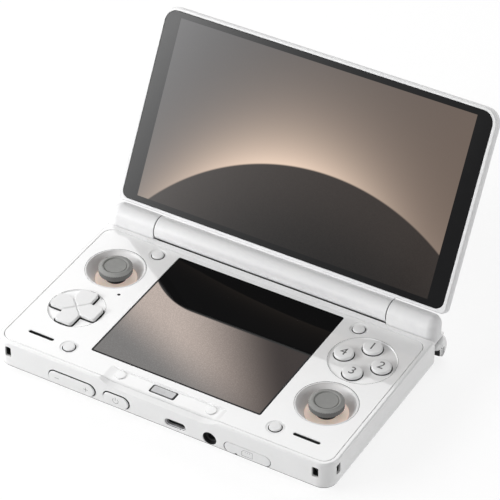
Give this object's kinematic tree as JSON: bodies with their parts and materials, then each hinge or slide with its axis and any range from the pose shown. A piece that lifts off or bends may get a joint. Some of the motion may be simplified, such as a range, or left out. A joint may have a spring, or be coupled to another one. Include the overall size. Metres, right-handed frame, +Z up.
{
  "type": "clamshell handheld game console",
  "caption": "Clamshell handheld game console with a screen in the lid and one in the base, thumb sticks, direction pad, buttons and shoulder buttons.",
  "frame": {"origin": "centre of the bounding box in plan, on the plane of the feet, with the lid open as in the picture", "axes": "+X to the player's right, +Y away from the player towards the hinge, +Z up"},
  "size_m": [0.1506, 0.137, 0.0937],
  "materials": {
    "white_shell": "fine satin",
    "white_key": "smooth satin",
    "stick_rubber": "soft matt, knurled side",
    "black_plastic": "moulded",
    "screen_glass": "polished cover glass",
    "display_stack": "layered display panel",
    "light_guide": "translucent light guide",
    "badge_metal": "brushed",
    "plain_steel": "plated",
    "sink_aluminium": "plain",
    "board_resin": "coated board",
    "foot_rubber": "matt"
  },
  "bodies": {
    "base": {"lower_case": "white_shell", "upper_case": "white_shell", "deck_panel": "white_shell", "left_hinge_knuckle": "white_shell", "right_hinge_knuckle": "white_shell", "left_hinge_pin": "plain_steel", "right_hinge_pin": "plain_steel", "left_stick_well": "white_shell", "right_stick_well": "white_shell", "left_light_ring": "light_guide", "right_light_ring": "light_guide", "left_stick_housing": "black_plastic", "right_stick_housing": "black_plastic", "lower_glass": "screen_glass", "lower_display": "display_stack", "mid_plate": "sink_aluminium", "mainboard": "board_resin", "battery": "black_plastic", "fan_housing": "black_plastic", "heat_sink": "sink_aluminium", "left_speaker": "black_plastic", "right_speaker": "black_plastic", "usb_port": "plain_steel", "audio_jack": "black_plastic", "card_reader": "plain_steel", "front_badge": "badge_metal", "left_rest_pad": "white_key", "right_rest_pad": "white_key", "left_front_foot": "foot_rubber", "left_rear_foot": "foot_rubber", "right_front_foot": "foot_rubber", "right_rear_foot": "foot_rubber"},
    "lid": {"lid_frame": "white_shell", "lid_cover": "white_shell", "upper_glass": "screen_glass", "upper_display": "display_stack"},
    "fan_rotor": {"fan_rotor": "black_plastic"},
    "card_door": {"card_door": "white_key"},
    "volume_rocker": {"volume_rocker": "white_key"},
    "power_button": {"power_button": "white_key"},
    "direction_pad": {"direction_pad": "white_key"},
    "direction_pad_pivot": {"direction_pad_pivot": "black_plastic"},
    "face_button_right": {"face_button_right": "white_key"},
    "face_button_rear": {"face_button_rear": "white_key"},
    "face_button_left": {"face_button_left": "white_key"},
    "face_button_front": {"face_button_front": "white_key"},
    "left_rear_button": {"left_rear_button": "white_key"},
    "left_front_button": {"left_front_button": "white_key"},
    "right_rear_button": {"right_rear_button": "white_key"},
    "right_front_button": {"right_front_button": "white_key"},
    "left_bumper": {"left_bumper": "white_key"},
    "right_bumper": {"right_bumper": "white_key"},
    "left_trigger": {"left_trigger": "white_key"},
    "right_trigger": {"right_trigger": "white_key"},
    "left_stick_gimbal": {"left_stick_gimbal": "black_plastic"},
    "left_stick_rocker": {"left_stick_rocker": "black_plastic"},
    "left_stick_cap": {"left_stick_cap": "stick_rubber"},
    "right_stick_gimbal": {"right_stick_gimbal": "black_plastic"},
    "right_stick_rocker": {"right_stick_rocker": "black_plastic"},
    "right_stick_cap": {"right_stick_cap": "stick_rubber"}
  },
  "joints": [
    {"name": "lid_hinge", "type": "hinge", "parent": "base", "child": "lid", "pos_m": [0, 0.01975, 0.01763], "axis": [1, 0, 0], "range_deg": [-40, 119.8]},
    {"name": "fan_spin", "type": "hinge", "parent": "base", "child": "fan_rotor", "pos_m": [0, 0.00639, 0.0032], "axis": [0, 0, 1], "continuous": true},
    {"name": "card_door_hinge", "type": "hinge", "parent": "base", "child": "card_door", "pos_m": [0.0494, -0.06801, 0.0056], "axis": [0, 0, 1], "range_deg": [0, 95]},
    {"name": "volume_rock", "type": "hinge", "parent": "base", "child": "volume_rocker", "pos_m": [-0.0389, -0.06446, 0.0067], "axis": [0, 0, 1], "range_deg": [-1.4, 1.4], "stiffness_Nm_per_rad": 0.05},
    {"name": "power_press", "type": "slide", "parent": "base", "child": "power_button", "axis": [0, 1, 0], "range_m": [0, 0.0004], "stiffness_N_per_m": 1000},
    {"name": "direction_pad_tip", "type": "hinge", "parent": "base", "child": "direction_pad_pivot", "pos_m": [-0.0562, -0.03731, 0.0105], "axis": [1, 0, 0], "range_deg": [-4, 4], "stiffness_Nm_per_rad": 0.03},
    {"name": "direction_pad_roll", "type": "hinge", "parent": "direction_pad_pivot", "child": "direction_pad", "pos_m": [-0.0562, -0.03731, 0.0105], "axis": [0, 1, 0], "range_deg": [-4, 4], "stiffness_Nm_per_rad": 0.03},
    {"name": "face_right_press", "type": "slide", "parent": "base", "child": "face_button_right", "axis": [0, 0, -1], "range_m": [0, 0.0006], "stiffness_N_per_m": 600},
    {"name": "face_rear_press", "type": "slide", "parent": "base", "child": "face_button_rear", "axis": [0, 0, -1], "range_m": [0, 0.0006], "stiffness_N_per_m": 600},
    {"name": "face_left_press", "type": "slide", "parent": "base", "child": "face_button_left", "axis": [0, 0, -1], "range_m": [0, 0.0006], "stiffness_N_per_m": 600},
    {"name": "face_front_press", "type": "slide", "parent": "base", "child": "face_button_front", "axis": [0, 0, -1], "range_m": [0, 0.0006], "stiffness_N_per_m": 600},
    {"name": "left_rear_press", "type": "slide", "parent": "base", "child": "left_rear_button", "axis": [0, 0, -1], "range_m": [0, 0.0004], "stiffness_N_per_m": 800},
    {"name": "left_front_press", "type": "slide", "parent": "base", "child": "left_front_button", "axis": [0, 0, -1], "range_m": [0, 0.0004], "stiffness_N_per_m": 800},
    {"name": "right_rear_press", "type": "slide", "parent": "base", "child": "right_rear_button", "axis": [0, 0, -1], "range_m": [0, 0.0004], "stiffness_N_per_m": 800},
    {"name": "right_front_press", "type": "slide", "parent": "base", "child": "right_front_button", "axis": [0, 0, -1], "range_m": [0, 0.0004], "stiffness_N_per_m": 800},
    {"name": "left_bumper_press", "type": "hinge", "parent": "base", "child": "left_bumper", "pos_m": [-0.0597, 0.01969, 0.0107], "axis": [0, 0, 1], "range_deg": [0, 3.5], "stiffness_Nm_per_rad": 0.05},
    {"name": "right_bumper_press", "type": "hinge", "parent": "base", "child": "right_bumper", "pos_m": [0.0597, 0.01969, 0.0107], "axis": [0, 0, -1], "range_deg": [0, 3.5], "stiffness_Nm_per_rad": 0.05},
    {"name": "left_trigger_pull", "type": "hinge", "parent": "base", "child": "left_trigger", "pos_m": [-0.0489, 0.01999, 0.0085], "axis": [-1, 0, 0], "range_deg": [0, 9], "stiffness_Nm_per_rad": 0.05},
    {"name": "right_trigger_pull", "type": "hinge", "parent": "base", "child": "right_trigger", "pos_m": [0.0489, 0.01999, 0.0085], "axis": [-1, 0, 0], "range_deg": [0, 9], "stiffness_Nm_per_rad": 0.05},
    {"name": "left_stick_tip", "type": "hinge", "parent": "base", "child": "left_stick_gimbal", "pos_m": [-0.0562, -0.00901, 0.0067], "axis": [1, 0, 0], "range_deg": [-12, 12], "stiffness_Nm_per_rad": 0.02},
    {"name": "left_stick_roll", "type": "hinge", "parent": "left_stick_gimbal", "child": "left_stick_rocker", "pos_m": [-0.0562, -0.00901, 0.0067], "axis": [0, 1, 0], "range_deg": [-12, 12], "stiffness_Nm_per_rad": 0.02},
    {"name": "left_stick_click", "type": "slide", "parent": "left_stick_rocker", "child": "left_stick_cap", "axis": [0, 0, -1], "range_m": [0, 0.0004], "stiffness_N_per_m": 2000},
    {"name": "right_stick_tip", "type": "hinge", "parent": "base", "child": "right_stick_gimbal", "pos_m": [0.0562, -0.03731, 0.0067], "axis": [1, 0, 0], "range_deg": [-12, 12], "stiffness_Nm_per_rad": 0.02},
    {"name": "right_stick_roll", "type": "hinge", "parent": "right_stick_gimbal", "child": "right_stick_rocker", "pos_m": [0.0562, -0.03731, 0.0067], "axis": [0, 1, 0], "range_deg": [-12, 12], "stiffness_Nm_per_rad": 0.02},
    {"name": "right_stick_click", "type": "slide", "parent": "right_stick_rocker", "child": "right_stick_cap", "axis": [0, 0, -1], "range_m": [0, 0.0004], "stiffness_N_per_m": 2000}
  ]
}
